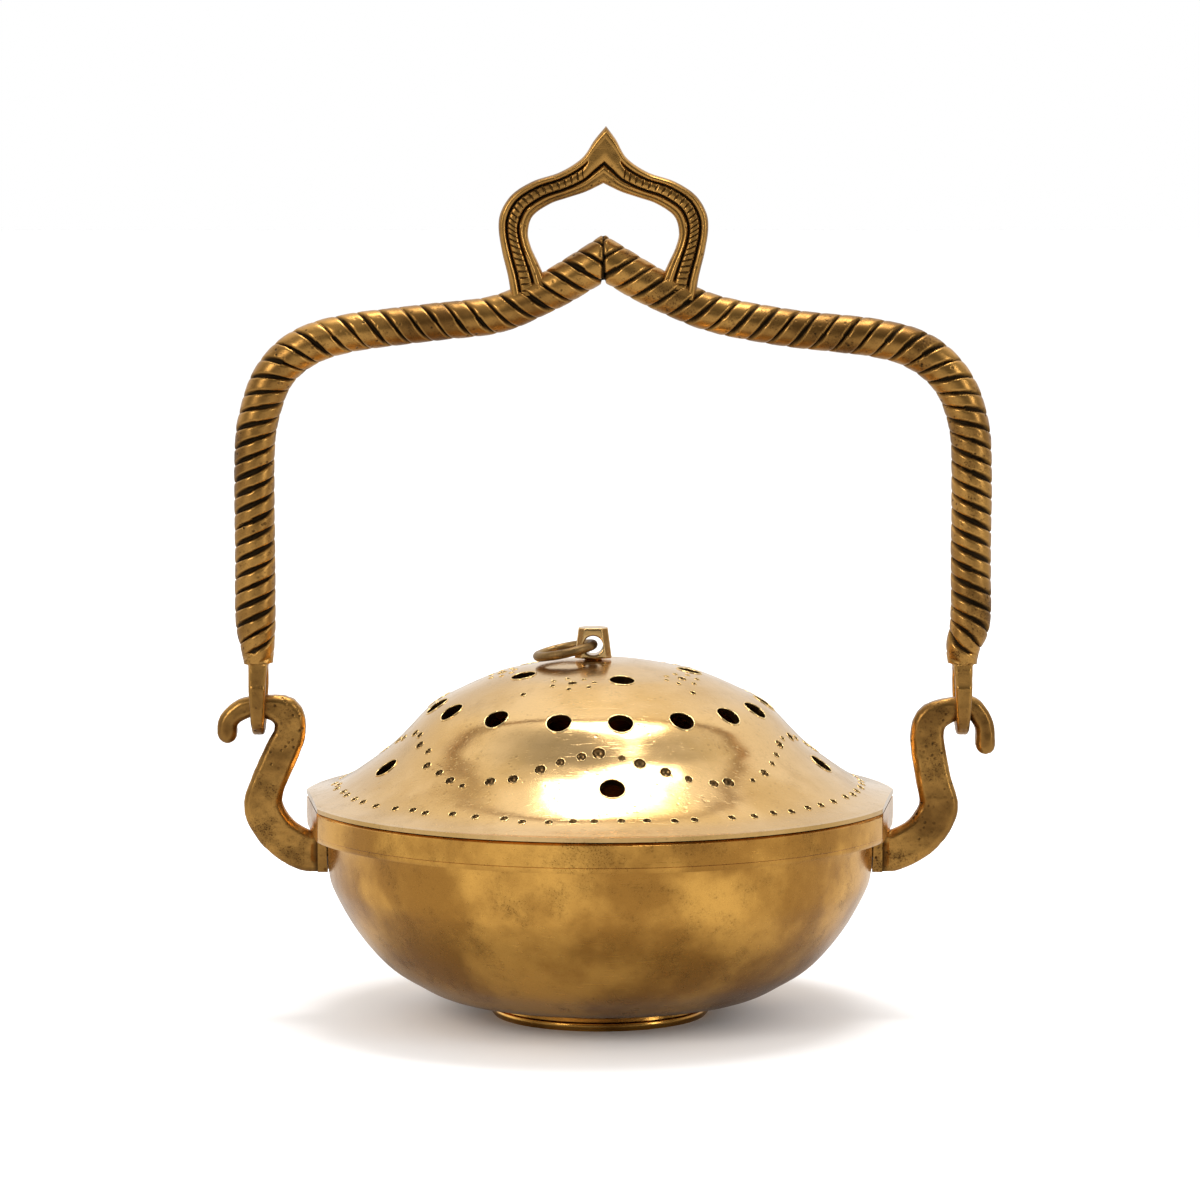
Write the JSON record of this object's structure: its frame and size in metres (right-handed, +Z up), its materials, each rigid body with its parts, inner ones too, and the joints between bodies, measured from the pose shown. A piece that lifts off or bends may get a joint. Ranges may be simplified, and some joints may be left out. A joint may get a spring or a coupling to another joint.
{
  "type": "thurible censer",
  "caption": "Brass hanging incense burner: footed bowl, pierced domed lid with a lifting ring, and a rope-twist bail with a pointed finger loop riding on two swan-neck hooks.",
  "frame": {"origin": "centre of the foot ring's underside, on the bowl's axis, which is the centre of the whole object's underside to within 1.5 mm", "axes": "+Z up, +X to the right through the two hooks, -Y to the front"},
  "size_m": [0.1832, 0.14, 0.2088],
  "materials": {
    "bowl_brass": "turned and polished, mottled with age",
    "lid_brass": "polished",
    "aged_brass": "cast and filed, dark in the hollows",
    "dull_brass": "dull, unpolished"
  },
  "bodies": {
    "bowl": {"bowl": "bowl_brass", "foot_ring": "bowl_brass", "hook_pad_left": "bowl_brass", "hook_pad_right": "bowl_brass", "hook_left": "aged_brass", "hook_right": "aged_brass", "hook_screw_left": "dull_brass", "hook_screw_right": "dull_brass"},
    "lid": {"lid": "lid_brass", "lid_spigot": "dull_brass", "lid_lug": "lid_brass"},
    "lid_ring": {"lid_ring": "dull_brass"},
    "bail": {"bail_arm_left": "aged_brass", "bail_arm_right": "aged_brass", "finger_loop": "aged_brass"}
  },
  "joints": [
    {"name": "lid_lift", "type": "slide", "parent": "bowl", "child": "lid", "axis": [0, 0, 1], "range_m": [0, 0.06]},
    {"name": "lid_ring_turn", "type": "hinge", "parent": "lid", "child": "lid_ring", "pos_m": [-0.0016, 0, 0.0875], "axis": [0, 1, 0], "range_deg": [0, 200]},
    {"name": "bail_swing", "type": "hinge", "parent": "bowl", "child": "bail", "pos_m": [0, 0, 0.0729], "axis": [1, 0, 0], "range_deg": [-115, 115]}
  ]
}
